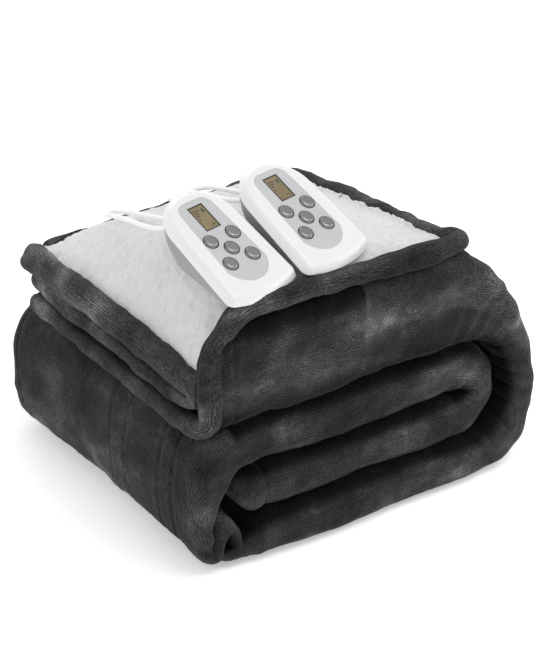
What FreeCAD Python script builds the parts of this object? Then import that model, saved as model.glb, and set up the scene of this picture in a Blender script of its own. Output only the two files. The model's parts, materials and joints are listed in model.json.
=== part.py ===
import FreeCAD, Part
import math
import os
import Sketcher

# A folded heated blanket with two hand controllers on top. Millimetres, +Z up. The origin is on the
# floor under the middle of the folded blanket. +X runs along the front face, whose rolls are seen end
# on, and +Y runs from the front face to the back face.

V = FreeCAD.Vector
doc = FreeCAD.newDocument("FoldedHeatedBlanket")
sheet = doc.addObject("Spreadsheet::Sheet", "Sizes")

DRIVING = {
    # the folded blanket
    "half_width": 200.0,
    "half_depth": 163.0,
    "fold_left": -150.0,
    "fold_right": 109.0,
    "bottom_top": 53.0,
    "lower_top": 103.0,
    "upper_top": 155.0,
    "layer_gap": 1.0,
    "wrap_height": 128.0,
    "wrap_thickness": 26.0,
    "wrap_radius": 48.0,
    "turn_inner_radius": 51.0,
    "turn_outer_radius": 91.0,
    "panel_thickness": 13.0,
    "front_height": 273.0,
    "crest_height": 283.0,
    "mid_height": 283.0,
    "slope_height": 269.0,
    "back_height": 207.0,
    "crest_place": -90.0,
    "mid_place": 5.0,
    "slope_place": 55.0,
    "flap_edge_height": 206.0,
    "hem_width": 13.0,
    "wire_radius": 1.1,
    "wire_pitch": 36.0,
    # a controller, in its own frame: origin on the face at the middle button, +Y to its display end
    "shell_half_front": 44.5,
    "shell_half_back": 41.0,
    "shell_front": -51.0,
    "shell_side_end": 33.5,
    "shell_rise": 8.0,
    "shell_wall": 2.2,
    "front_arc_radius": 112.0,
    "back_arc_radius": 41.04,
    "edge_round": 8.0,
    "crown_inset": 7.5,
    "crown_fall": 5.4,
    "base_inset": 3.0,
    "heel_place": 12.0,
    "heel_depth": 27.0,
    "tail_place": 57.0,
    "tail_depth": 13.0,
    "panel_half": 24.5,
    "panel_front": -24.0,
    "panel_front_radius": 25.7,
    "panel_neck": 20.5,
    "panel_back": 48.0,
    "panel_back_half": 9.0,
    "panel_top": 59.0,
    "panel_recess": 1.0,
    "window_half": 9.3,
    "window_half_long": 14.8,
    "window_place": 38.0,
    "button_radius": 7.5,
    "button_flange": 8.6,
    "button_middle": -2.0,
    "button_across": 14.1,
    "button_along": 14.1,
    "button_proud": 1.9,
    "button_travel": 0.8,
    "screw_radius": 1.5,
    # the leads
    "lead_radius": 2.5,
    "coil_radius": 27.5,
    "coil_width": 16.0,
    "coil_height": 10.4,
}

for row, (alias, number) in enumerate(DRIVING.items(), start=1):
    sheet.set("A%d" % row, alias)
    sheet.set("B%d" % row, str(number))
    sheet.setAlias("B%d" % row, alias)
doc.recompute()


class Size:
    """A number together with the spreadsheet expression that gives it."""

    def __init__(self, value, text):
        self.value = value
        self.text = text

    def _join(self, other, sign, result, swap=False):
        text = other.text if isinstance(other, Size) else repr(float(other))
        left, right = (text, self.text) if swap else (self.text, text)
        return Size(result, "(%s %s %s)" % (left, sign, right))

    def __add__(self, other):
        return self._join(other, "+", self.value + number_of(other))

    def __sub__(self, other):
        return self._join(other, "-", self.value - number_of(other))

    def __rsub__(self, other):
        return self._join(other, "-", number_of(other) - self.value, swap=True)

    def __mul__(self, other):
        return self._join(other, "*", self.value * number_of(other))

    def __neg__(self):
        return Size(-self.value, "(0 - %s)" % self.text)

    __radd__ = __add__
    __rmul__ = __mul__


def number_of(thing):
    return thing.value if isinstance(thing, Size) else float(thing)


def size(alias):
    return Size(DRIVING[alias], "Sizes." + alias)


def bind(thing, path, amount):
    """Set a property, by an expression where the amount comes from the sheet."""
    if isinstance(amount, Size):
        thing.setExpression(path, amount.text)


# ---------------------------------------------------------------- building blocks

NODES = []


def new_body(label, placement=None):
    body = doc.addObject("PartDesign::Body", label)
    body.Label = label
    if placement is not None:
        body.Placement = placement
    NODES.append(body)
    return body


def new_sketch(body, plane, offset=0.0, turn=None):
    """An empty sketch on one of the body's own planes, moved along that plane's normal."""
    sketch = body.newObject("Sketcher::SketchObject", body.Label + "_sketch")
    support = [f for f in body.Origin.OriginFeatures if f.Role == plane][0]
    sketch.AttachmentSupport = [(support, "")]
    sketch.MapMode = "FlatFace"
    rotation = turn if turn is not None else FreeCAD.Rotation()
    sketch.AttachmentOffset = FreeCAD.Placement(V(0, 0, number_of(offset)), rotation)
    bind(sketch, "AttachmentOffset.Base.z", offset)
    return sketch


def hold(sketch, kind, first, second, amount):
    """A distance from the sketch's origin to a point, tied to the sheet where it comes from there."""
    index = sketch.addConstraint(Sketcher.Constraint(kind, -1, 1, first, second, number_of(amount)))
    bind(sketch, "Constraints[%d]" % index, amount)


def outline(body, plane, offset, corners, turn=None):
    """A closed outline through corners (x, y) or (x, y, r), anticlockwise, with an arc of radius r bulging
    out from that corner to the next one."""
    sketch = new_sketch(body, plane, offset, turn)
    places = [V(number_of(c[0]), number_of(c[1]), 0) for c in corners]
    for i, corner in enumerate(corners):
        start, end = places[i], places[(i + 1) % len(places)]
        if len(corner) == 3:
            radius = number_of(corner[2])
            half = (end - start) * 0.5
            inward = V(-half.y, half.x, 0).normalize()
            centre = start + half + inward * math.sqrt(max(radius**2 - half.Length**2, 0.0))
            circle = Part.Circle(centre, V(0, 0, 1), radius)
            first = math.atan2(start.y - centre.y, start.x - centre.x)
            last = math.atan2(end.y - centre.y, end.x - centre.x)
            if last < first:
                last += 2 * math.pi
            sketch.addGeometry(Part.ArcOfCircle(circle, first, last))
        else:
            sketch.addGeometry(Part.LineSegment(start, end))
    for i, corner in enumerate(corners):
        sketch.addConstraint(Sketcher.Constraint("Coincident", i, 2, (i + 1) % len(corners), 1))
        if len(corner) == 3 and abs(number_of(corner[2]) - chord_half(places, i)) > 1e-6:
            index = sketch.addConstraint(Sketcher.Constraint("Radius", i, number_of(corner[2])))
            bind(sketch, "Constraints[%d]" % index, corner[2])
    for i, corner in enumerate(corners):
        hold(sketch, "DistanceX", i, 1, corner[0])
        hold(sketch, "DistanceY", i, 1, corner[1])
    return sketch


def chord_half(places, i):
    return (places[(i + 1) % len(places)] - places[i]).Length / 2


def circles(body, plane, offset, centres, radius, turn=None):
    sketch = new_sketch(body, plane, offset, turn)
    for i, (x, y) in enumerate(centres):
        sketch.addGeometry(Part.Circle(V(number_of(x), number_of(y), 0), V(0, 0, 1), number_of(radius)))
        index = sketch.addConstraint(Sketcher.Constraint("Radius", i, number_of(radius)))
        bind(sketch, "Constraints[%d]" % index, radius)
        hold(sketch, "DistanceX", i, 3, x)
        hold(sketch, "DistanceY", i, 3, y)
    return sketch


def grow(body, kind, sketch, length, reverse=False):
    """A Pad or a Pocket of the sketch, over the given length along its normal or against it."""
    feature = body.newObject("PartDesign::" + kind, body.Label + "_" + kind.lower())
    feature.Profile = sketch
    feature.Length = number_of(length)
    bind(feature, "Length", length)
    feature.Reversed = reverse
    doc.recompute()
    return feature


def cut(body, sketch, length, reverse=False):
    """A Pocket that has to take something away."""
    before = body.Shape.Volume
    feature = grow(body, "Pocket", sketch, length, reverse)
    if before - body.Shape.Volume < 1e-3:
        raise ValueError("a pocket in %s takes nothing away" % body.Label)
    return feature


def loft(body, sketches):
    feature = body.newObject("PartDesign::AdditiveLoft", body.Label + "_loft")
    feature.Profile = sketches[0]
    feature.Sections = sketches[1:]
    feature.Ruled = True
    doc.recompute()
    return feature


def spin(body, sketch, axis):
    """A full turn of the sketch about one of its own axes."""
    feature = body.newObject("PartDesign::Revolution", body.Label + "_revolution")
    feature.Profile = sketch
    feature.ReferenceAxis = (sketch, [axis])
    feature.Angle = 360.0
    doc.recompute()
    return feature


def round_edges(body, feature, wanted, radius):
    names = ["Edge%d" % (i + 1) for i, edge in enumerate(feature.Shape.Edges) if wanted(edge)]
    fillet = body.newObject("PartDesign::Fillet", body.Label + "_fillet")
    fillet.Base = (feature, names)
    fillet.Radius = number_of(radius)
    bind(fillet, "Radius", radius)
    doc.recompute()
    return fillet


def box_corners(x_low, y_low, x_high, y_high):
    return [(x_low, y_low), (x_high, y_low), (x_high, y_high), (x_low, y_high)]


def route_wire(points):
    """Straight runs joined by tangent arcs, each as large as its two runs allow. Gives the wire and the
    radii of its arcs."""
    edges = []
    radii = []
    start = points[0]
    for before, corner, after in zip(points, points[1:], points[2:]):
        run_in = corner - before
        run_out = after - corner
        turn = run_in.getAngle(run_out)
        trim = 0.45 * min(run_in.Length, run_out.Length)
        radius = trim / math.tan(turn / 2)
        enter = corner - V(run_in).normalize() * trim
        leave = corner + V(run_out).normalize() * trim
        to_middle = (V(run_out).normalize() - V(run_in).normalize()).normalize()
        centre = corner + to_middle * math.hypot(radius, trim)
        middle = centre - to_middle * radius
        edges.append(Part.LineSegment(start, enter).toShape())
        edges.append(Part.Arc(enter, middle, leave).toShape())
        radii.append(radius)
        start = leave
    edges.append(Part.LineSegment(start, points[-1]).toShape())
    return Part.Wire(edges), radii


def tube(label, points, radius):
    """A round tube along a route, as a shape of its own. Its volume is compared with section times length."""
    wire, radii = route_wire(points)
    section = Part.Wire(Part.Circle(points[0], points[1] - points[0], radius).toShape())
    shape = wire.makePipeShell([section], True, False)
    feature = doc.addObject("Part::Feature", label)
    feature.Label = label
    feature.Shape = shape
    expected = math.pi * radius**2 * wire.Length
    print("%s: %.0f mm long, radii %s, volume %.3f of section x length" % (
        label, wire.Length, " ".join("%.0f" % r for r in radii), abs(shape.Volume) / expected))
    NODES.append(feature)
    return feature


# ---------------------------------------------------------------- the folded blanket

half_depth = size("half_depth")
depth = half_depth * 2
fold_left = size("fold_left")
fold_right = size("fold_right")
gap = size("layer_gap")
bottom_top = size("bottom_top")
lower_top = size("lower_top")
upper_top = size("upper_top")
turn_middle = (bottom_top + upper_top) * 0.5


def along_depth(label, corners):
    """A fold whose section in the XZ plane runs from the back face to the front face."""
    body = new_body(label)
    grow(body, "Pad", outline(body, "XZ_Plane", -half_depth, corners), depth)
    return body


def make_inner_folds():
    """The three flat layers at the bottom of the pile, and the turn that joins the upper two on the right."""
    along_depth("bottom_fold", box_corners(fold_left, 0, fold_right, bottom_top - gap))
    half = (lower_top - bottom_top - gap) * 0.5
    along_depth("lower_inner_fold", [
        (fold_left + half, bottom_top), (fold_right, bottom_top),
        (fold_right, lower_top - gap), (fold_left + half, lower_top - gap, half)])
    along_depth("upper_inner_fold", box_corners(fold_left, lower_top, fold_right, upper_top - gap))
    turn = size("turn_inner_radius")
    along_depth("inner_turn", [(fold_right, turn_middle - turn, turn), (fold_right, turn_middle + turn)])


def make_left_wrap():
    """The outer layer that comes round the left side from the upper fold to the bottom one."""
    outer = -size("half_width")
    inner = outer + size("wrap_thickness")
    radius = size("wrap_radius")
    top = size("wrap_height")
    along_depth("left_wrap", [
        (outer + radius, 0), (fold_left - gap, 0), (fold_left - gap, bottom_top - gap),
        (inner, bottom_top - gap), (inner, lower_top), (fold_left - gap, lower_top),
        (fold_left - gap, top), (outer + radius, top, radius),
        (outer, top - radius), (outer, radius, radius)])


def make_right_turn():
    """The big turn on the right, from the bottom fold up into the top fold. It leans back as it rises."""
    inner = size("turn_inner_radius") * 1.1
    outer = size("turn_outer_radius")
    low = turn_middle - inner
    body = new_body("right_turn")
    sections = []
    for place, shoulder, height in (
        (-half_depth, 140.0, size("back_height")),
        (-size("slope_place"), 155.0, size("slope_height")),
        (half_depth, 165.0, size("front_height")),
    ):
        top = height - size("panel_thickness") - 22.0
        sections.append(outline(body, "XZ_Plane", place, [
            (fold_right, 0), (fold_right + 40.0, 4.0), (fold_right + 72.0, 26.0), (fold_right + 90.0, 62.0),
            (fold_right + outer, outer + 14.0), (fold_right + 66.0, shoulder), (fold_right + 28.0, top - 14.0),
            (fold_right, top), (fold_right, turn_middle + inner), (fold_right + inner * 0.7071,
            turn_middle + inner * 0.7071), (fold_right + inner, turn_middle), (fold_right + inner * 0.7071,
            turn_middle - inner * 0.7071), (fold_right, low)]))
    loft(body, sections)


SECTIONS = (  # place in front of the middle, and the height of the sherpa there
    (-half_depth, size("back_height")),
    (-size("slope_place"), size("slope_height")),
    (-size("mid_place"), size("mid_height")),
    (-size("crest_place"), size("crest_height")),
    (half_depth, size("front_height")),
)


def make_top_fold():
    """The thick last turn of the roll, under the sherpa."""
    body = new_body("top_fold")
    sections = []
    for place, height in SECTIONS:
        top = height - size("panel_thickness") - gap
        sections.append(outline(body, "XZ_Plane", place, [
            (fold_left, upper_top), (fold_right - gap, upper_top), (fold_right - gap, top - 8.0),
            (fold_right - 30.0, top), (fold_left + 24.0, top), (fold_left, top - 8.0)]))
    loft(body, sections)


def make_flap_edges():
    """The blanket's own hem, folded to and fro at the left end of the top fold: three bars, one on another."""
    outer = -size("half_width") + 5.0
    top = size("flap_edge_height")
    low = size("wrap_height") + gap
    step = (top - low) * (1.0 / 3.0)
    for count, label in enumerate(("flap_edge_lower", "flap_edge_middle", "flap_edge_upper")):
        base = low + step * count
        half = (step - gap) * 0.5
        along_depth(label, [
            (outer + half, base), (fold_left - gap, base),
            (fold_left - gap, base + half * 2), (outer + half, base + half * 2, half)])


def inside_hem(first, second):
    """The section that lies a hem's width in from the first one, on the way to the second one."""
    share = DRIVING["hem_width"] / abs(number_of(first[0]) - number_of(second[0]))
    return (first[0] + (second[0] - first[0]) * share, first[1] + (second[1] - first[1]) * share)


def make_sherpa_panel():
    """The white inner face of the blanket, which the turned-back flap shows on top of the pile."""
    body = new_body("sherpa_panel")
    outer = -size("half_width") + 8.0
    edge = size("flap_edge_height") + 0.5
    places = [inside_hem(*SECTIONS[:2]), *SECTIONS[1:-1], inside_hem(SECTIONS[-1], SECTIONS[-2])]
    sections = []
    for place, height in places:
        low = height - size("panel_thickness")
        sections.append(outline(body, "XZ_Plane", place, [
            (outer, edge), (fold_left - gap, edge), (fold_left - gap, low - 8.0), (fold_left + 24.0, low),
            (fold_right - 30.0, low), (fold_right - 0.5, low - 8.0), (fold_right - 0.5, height - 10.0),
            (fold_right - 30.0, height), (fold_left + 10.0, height),
            (fold_left - 18.0, height * 0.6 + edge * 0.4), (outer, edge + 3.0)]))
    loft(body, sections)


def make_hems():
    """The bound edges round the flap: along the front and the back, down the corner, and on the right."""
    hem = size("hem_width")
    front = size("front_height")
    back = size("back_height")
    left = fold_left - 18.0
    for label, place, x_low, low, top in (
        ("hem_front", half_depth - hem + gap, left, front - 9.0, front + 1.0),
        ("hem_back", -half_depth, fold_left, back - 6.5, back + 2.0),
    ):
        body = new_body(label)
        grow(body, "Pad", outline(body, "XZ_Plane", place, box_corners(
            x_low, low, fold_right - 0.5, top)), hem - gap)
    body = new_body("hem_corner")
    grow(body, "Pad", outline(body, "XZ_Plane", half_depth - hem + gap, box_corners(
        left, size("flap_edge_height") + 0.5, fold_left - gap, front - 10.0)), hem - gap)
    body = new_body("hem_right")
    sections = [
        outline(body, "XZ_Plane", place, [
            (fold_right + 0.5, height - 22.0), (fold_right + 12.0, height - 27.0),
            (fold_right + 12.0, height - 12.0), (fold_right + 0.5, height - 9.0)])
        for place, height in SECTIONS]
    loft(body, sections)


def serpentine(x_low, x_high, y_half, height, pitch):
    """Corner points of a wire laid to and fro, with two points at each end so that it turns in a round."""
    points = []
    count = int(2 * y_half / pitch)
    for i in range(count + 1):
        y = -y_half + i * pitch
        ends = (x_low, x_high) if i % 2 == 0 else (x_high, x_low)
        points += [V(ends[0], y, height), V(ends[1], y, height)]
    return points


def make_heating_wires():
    """One heating wire for each side of the bed, sewn between the layers."""
    pitch = DRIVING["wire_pitch"]
    for label, height in (("heating_wire_left", 27.0), ("heating_wire_right", 129.0)):
        tube(label, serpentine(-128.0, 92.0, 4 * pitch, height, pitch), DRIVING["wire_radius"])


def make_inlets():
    """The two connectors sewn into the foot of the blanket, which the controllers' outputs feed."""
    for label, place in (("blanket_inlet_left", -70.0), ("blanket_inlet_right", 50.0)):
        body = new_body(label)
        grow(body, "Pad", outline(body, "XY_Plane", lower_top - 30.0, [
            (place - 16.0, -9.0), (place + 16.0, -9.0, 9.0), (place + 16.0, 9.0), (place - 16.0, 9.0, 9.0)]), 9.0)


# ---------------------------------------------------------------- a controller

half_front = size("shell_half_front")
half_back = size("shell_half_back")
shell_front = size("shell_front")
side_end = size("shell_side_end")
rise = size("shell_rise")
wall = size("shell_wall")
BUTTONS = {
    "button_centre": (Size(0.0, "0"), size("button_middle")),
    "button_back_left": (-size("button_across"), size("button_middle") + size("button_along")),
    "button_back_right": (size("button_across"), size("button_middle") + size("button_along")),
    "button_front_left": (-size("button_across"), size("button_middle") - size("button_along")),
    "button_front_right": (size("button_across"), size("button_middle") - size("button_along")),
}
SCREW_PLACES = [(-30.0, -41.0), (30.0, -41.0), (-28.5, 30.0), (28.5, 30.0)]
FRONT_REACH = 9.0
BASE_TILT = math.degrees(math.atan2(DRIVING["heel_depth"] - DRIVING["shell_rise"] - 0.9,
                                    DRIVING["heel_place"] - DRIVING["shell_front"] + FRONT_REACH))


def shell_outline(body, offset, inset):
    """The controller's plan: a round display end, straight sides that spread, and an arched front."""
    return outline(body, "XY_Plane", offset, [
        (inset - half_front, shell_front + inset, size("front_arc_radius") - inset),
        (half_front - inset, shell_front + inset),
        (half_back - inset, side_end, size("back_arc_radius") - inset),
        (inset - half_back, side_end)])


def pill(body, offset, shrink):
    """The face panel's plan: wide and well rounded under the buttons, and narrower round the display."""
    half = size("panel_half") - shrink
    neck = size("panel_neck") - shrink
    corner = neck - size("panel_back_half") + shrink
    top = size("panel_top") - shrink
    return outline(body, "XY_Plane", offset, [
        (-half, size("panel_front"), size("panel_front_radius") - shrink), (half, size("panel_front")),
        (neck, size("panel_back"), corner), (size("panel_back_half"), top),
        (-size("panel_back_half"), top, corner), (-neck, size("panel_back"))])


def window(body, offset, grown):
    half = size("window_half") + grown
    long = size("window_half_long") + grown
    place = size("window_place")
    return outline(body, "XY_Plane", offset, box_corners(-half, place - long, half, place + long))


def button_holes(body, offset, grown):
    return circles(body, "XY_Plane", offset, list(BUTTONS.values()), size("button_radius") + grown)


def side_cut(body, corners, half_width):
    """Cut away a region drawn in the YZ plane, right across the controller."""
    cut(body, outline(body, "YZ_Plane", -half_width, corners), half_width * 2, reverse=True)


def make_top_shell(prefix, placement):
    """A thin rim all round, which rises over a sloping crown to the flat of the face."""
    body = new_body(prefix + "top_shell", placement)
    block = grow(body, "Pad", shell_outline(body, -rise, 0.0), rise)
    corners = round_edges(body, block, lambda e: is_upright(e) and e.CenterOfMass.y < 0, 9.0)
    crown = slope_edges(body, corners, lambda e: abs(e.BoundBox.ZMin) < 1e-4)
    round_edges(body, crown, lambda e: abs(e.BoundBox.ZMin) < 1e-4, size("edge_round"))
    cut(body, shell_outline(body, -rise, wall + size("crown_inset")), rise - wall, reverse=True)
    grow(body, "Pad", circles(body, "XY_Plane", -rise, SCREW_PLACES, 3.2), rise - wall)
    cut(body, circles(body, "XY_Plane", -rise, SCREW_PLACES, size("screw_radius")), 4.6, reverse=True)
    cut(body, pill(body, 0.0, 0.0), size("panel_recess"))
    cut(body, window(body, 0.0, 0.0), 4.0)
    cut(body, button_holes(body, 0.0, 0.5), 4.0)


def slope_edges(body, feature, wanted):
    """A bevel that reaches further down the sides than it does across the face."""
    names = ["Edge%d" % (i + 1) for i, edge in enumerate(feature.Shape.Edges) if wanted(edge)]
    bevel = body.newObject("PartDesign::Chamfer", body.Label + "_bevel")
    bevel.Base = (feature, names)
    bevel.ChamferType = "Two distances"
    for path in ("Size", "Size2"):
        bind(bevel, path, size("crown_inset" if path == "Size" else "crown_fall"))
    bevel.Size = DRIVING["crown_inset"]
    bevel.Size2 = DRIVING["crown_fall"]
    doc.recompute()
    return bevel


def is_upright(edge):
    box = edge.BoundBox
    return box.XLength < 1e-4 and box.YLength < 1e-4


def make_base_shell(prefix, placement):
    """The wedge under the top shell: thin at the front, deepest at the heel, and thin again at the tail."""
    body = new_body(prefix + "base_shell", placement)
    heel = size("heel_place")
    deep = size("heel_depth")
    tail = size("tail_place")
    shallow = size("tail_depth")
    grow(body, "Pad", shell_outline(body, -(deep + 1.0), size("base_inset")), deep + 1.0 - rise - 0.2)
    side_cut(body, [
        (-80.0, -40.0), (80.0, -40.0), (80.0, -shallow), (tail, -shallow), (heel + 9.0, -deep + 0.6),
        (heel, -deep), (shell_front - FRONT_REACH, -rise - 0.9), (-80.0, -rise - 0.9)], 60.0)
    side_cut(body, [
        (shell_front + 12.0, -rise), (shell_front + 12.0, -rise - 2.0), (heel, -deep + wall),
        (heel + 8.0, -deep + wall + 0.8), (tail - 14.0, -shallow - 1.6), (tail - 14.0, -rise)], 24.0)
    bores = circles(body, "XY_Plane", -(deep + 1.0), SCREW_PLACES, size("screw_radius") + 0.2)
    cut(body, bores, 40.0, reverse=True)
    return body


def make_panel(prefix, placement):
    body = new_body(prefix + "face_panel", placement)
    grow(body, "Pad", pill(body, -size("panel_recess"), 0.15), size("panel_recess") - 0.1)
    cut(body, window(body, 0.0, 0.0), 4.0)
    cut(body, button_holes(body, 0.0, 0.5), 4.0)


def make_display(prefix, placement):
    body = new_body(prefix + "display_lens", placement)
    grow(body, "Pad", window(body, -wall, -0.1), wall - 0.4)
    body = new_body(prefix + "display_module", placement)
    grow(body, "Pad", window(body, -wall - 3.6, 0.4), 3.5)


def make_board(prefix, placement):
    body = new_body(prefix + "circuit_board", placement)
    grow(body, "Pad", outline(body, "XY_Plane", -10.0, box_corners(-23.5, -33.0, 23.5, 41.0)), 1.6)
    body = new_body(prefix + "keypad_membrane", placement)
    grow(body, "Pad", outline(body, "XY_Plane", -8.4, box_corners(-22.5, -24.0, 22.5, 23.0)), 1.0)


def make_button(prefix, name, placement):
    """A domed cap with a flange that keeps it under the shell's roof."""
    x, y = BUTTONS[name]
    body = new_body(prefix + name, placement)
    proud = DRIVING["button_proud"]
    cap = circles(body, "XY_Plane", -6.0, [(x, y)], size("button_radius") - 0.1)
    grow(body, "Pad", cap, size("button_proud") + 6.0)
    round_edges(body, body.Tip, lambda e: abs(e.BoundBox.ZMin - proud) < 1e-4, 3.2)
    grow(body, "Pad", circles(body, "XY_Plane", -4.8, [(x, y)], size("button_flange")), 2.0)


def make_screws(prefix, placement):
    """Four screws from below, with their heads in the base."""
    body = new_body(prefix + "screws", placement)
    grow(body, "Pad", circles(body, "XY_Plane", -11.9, SCREW_PLACES, size("screw_radius")), 6.9)


def make_feet(prefix, placement):
    """Two rubber strips under the base, one at the front and one at the heel."""
    body = new_body(prefix + "feet", placement)
    slope = FreeCAD.Rotation(V(1, 0, 0), -BASE_TILT)
    lift = -DRIVING["heel_depth"] - 0.02
    sketch = new_sketch(body, "XY_Plane", 0.0)
    heel = DRIVING["heel_place"]
    sketch.AttachmentOffset = FreeCAD.Placement(V(0, heel, lift), slope)
    for i, (x, y) in enumerate(((-24.0, -5.0), (24.0, -5.0), (-26.0, -46.0), (26.0, -46.0))):
        sketch.addGeometry(Part.Circle(V(x, y, 0), V(0, 0, 1), 3.6))
        sketch.addConstraint(Sketcher.Constraint("Radius", i, 3.6))
        hold(sketch, "DistanceX", i, 3, x)
        hold(sketch, "DistanceY", i, 3, y)
    grow(body, "Pad", sketch, 0.8, reverse=True)


GLAND_ROOT = V(-6.0, 33.0, -17.0)
GLAND_LENGTH = 22.0


def make_gland(prefix, frame):
    """The tapered strain relief under the tail. It points level to the back."""
    body = new_body(prefix + "lead_gland", frame)
    sketch = outline(body, "XZ_Plane", 0.0, [
        (0.0, 0.0), (5.6, 0.0), (5.6, 5.0), (size("lead_radius") + 0.9, GLAND_LENGTH), (0.0, GLAND_LENGTH)])
    spin(body, sketch, "V_Axis")


def make_socket(prefix, placement):
    """The outlet that the blanket's own lead plugs into, in the tail beside the strain relief."""
    body = new_body(prefix + "outlet_socket", placement)
    grow(body, "Pad", outline(body, "XY_Plane", -20.5, box_corners(8.0, 24.0, 22.0, 40.0)), 8.0)


# ---------------------------------------------------------------- the leads

FLOOR = DRIVING["lead_radius"] + 0.2

# Each route starts at the end of its strain relief, so the first point is worked out and not listed.
LEAD_LEFT = [
    (-150, -43, 305.5), (-154, -24, 298), (-154, -2, 291.5), (-151.5, 20, 285.5), (-150, 40, 280),
    (-151, 58, 275.5), (-151, 72, 271), (-145, 82, 266.5), (-137, 79, 267.5), (-134, 66, 272),
    (-132.5, 50, 276.5), (-130, 32, 281), (-126, 14, 284.5), (-121, -4, 287), (-113, -17, 289),
    (-103, -14, 289), (-96, 2, 288), (-89, 24, 282.5), (-81, 50, 275.5), (-70, 80, 261),
    (-56, 108, 246), (-38, 134, 229.5), (-18, 154, 219.5), (-2, 169.5, 208.5), (8, 181.5, 188),
    (11, 184, 150), (9, 184, 112), (4, 184, 75), (0, 186, 42), (-4, 192, 16),
    (-14, 203, 4.5),
]
LEAD_RIGHT = [
    (-59.5, -36, 306), (-60.5, -18, 298), (-60, 1, 291), (-58.5, 20, 285.5), (-57.5, 38, 280.5),
    (-58, 55, 275), (-57, 69, 269.5), (-50, 79, 264.5), (-42, 77, 266), (-39, 65, 272),
    (-39, 50, 277.5), (-37, 34, 281.5), (-33, 16, 285), (-28, -2, 287.5), (-21, -16, 289),
    (-11, -15, 289), (-2, -2, 288.5), (12, 22, 283.5), (28, 48, 275), (46, 78, 261.5),
    (68, 111, 244), (88, 141, 226), (100, 161, 215.5), (106, 175, 203), (108, 182, 178),
    (110, 184, 143), (114, 183.5, 108), (118, 184, 74), (122, 186, 42), (124, 192, 16),
    (118, 203, 4.5),
]
COIL_LEFT = V(-52, 222, 0)
COIL_RIGHT = V(78, 222, 0)


def make_coil(label, centre):
    body = new_body(label, FreeCAD.Placement(centre, FreeCAD.Rotation()))
    inner = size("coil_radius") - size("coil_width") * 0.5
    outer = size("coil_radius") + size("coil_width") * 0.5
    sketch = outline(body, "XZ_Plane", 0.0, box_corners(inner, 0.2, outer, size("coil_height")))
    spin(body, sketch, "V_Axis")


def make_plug(label, place, yaw):
    """A two-pin mains plug, lying flat."""
    body = new_body(label, FreeCAD.Placement(place, FreeCAD.Rotation(V(0, 0, 1), yaw)))
    block = grow(body, "Pad", outline(body, "XY_Plane", 0.0, [
        (-5.0, -20.0), (5.0, -20.0), (11.5, -4.0), (11.5, 10.0), (-11.5, 10.0), (-11.5, -4.0)]), 15.0)
    round_edges(body, block, lambda e: is_upright(e), 2.0)
    for x in (-6.35, 6.35):
        grow(body, "Pad", outline(body, "XZ_Plane", -10.0, box_corners(x - 0.75, 4.4, x + 0.75, 10.7)),
             16.0, reverse=True)


def lead_points(start, listed, coil, side):
    """The whole route: out of the strain relief, along the listed points, and in at the coil's side."""
    end = coil + V(side * (DRIVING["coil_radius"] + DRIVING["coil_width"] / 2), 0, FLOOR + 1.5)
    return [start] + [V(*point) for point in listed] + [end]


# ---------------------------------------------------------------- assembly

FACE_PITCH = 27.0
YAW = 11.5
CONTROLLERS = {
    "controller_left_": V(-130.4, -115.1, 312.5),
    "controller_right_": V(-41.5, -106.8, 314),
}


def face_placement(centre):
    yaw = FreeCAD.Rotation(V(0, 0, 1), YAW)
    pitch = FreeCAD.Rotation(V(1, 0, 0), FACE_PITCH)
    return FreeCAD.Placement(centre, yaw.multiply(pitch))


def gland_frame(placement):
    """A frame whose +Z points level out of the back of the controller."""
    level = FreeCAD.Rotation(V(0, 0, 1), YAW).multiply(FreeCAD.Rotation(V(1, 0, 0), -90))
    return FreeCAD.Placement(placement.multVec(GLAND_ROOT), level)


def make_controller(prefix, centre):
    placement = face_placement(centre)
    make_top_shell(prefix, placement)
    make_base_shell(prefix, placement)
    make_panel(prefix, placement)
    make_display(prefix, placement)
    make_board(prefix, placement)
    for name in BUTTONS:
        make_button(prefix, name, placement)
    make_screws(prefix, placement)
    make_feet(prefix, placement)
    frame = gland_frame(placement)
    make_gland(prefix, frame)
    make_socket(prefix, placement)
    return frame.multVec(V(0, 0, GLAND_LENGTH))


make_inner_folds()
make_left_wrap()
make_right_turn()
make_top_fold()
make_flap_edges()
make_sherpa_panel()
make_hems()
make_heating_wires()
make_inlets()
exits = {prefix: make_controller(prefix, centre) for prefix, centre in CONTROLLERS.items()}
for prefix, listed, coil, yaw in (
    ("controller_left_", LEAD_LEFT, COIL_LEFT, 100.0),
    ("controller_right_", LEAD_RIGHT, COIL_RIGHT, 80.0),
):
    start = exits[prefix]
    print(prefix, "lead leaves at", tuple(round(x, 2) for x in start))
    tube(prefix + "lead", lead_points(start, listed, coil, 1), DRIVING["lead_radius"])
    make_coil(prefix + "lead_coil", coil)
    make_plug(prefix + "plug", coil + V(-58, -6, 0), yaw)

doc.recompute()
for thing in doc.Objects:
    if "Invalid" in thing.State or "Error" in thing.State:
        raise ValueError("%s failed: %s" % (thing.Label, thing.State))
os.makedirs("parts", exist_ok=True)
for node in NODES:
    if node.Shape.isNull() or not node.Shape.isValid():
        raise ValueError("%s has no valid shape" % node.Label)
    node.Shape.exportStep("parts/%s.step" % node.Label)
print(len(NODES), "nodes")
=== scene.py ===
import json
import math

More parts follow.
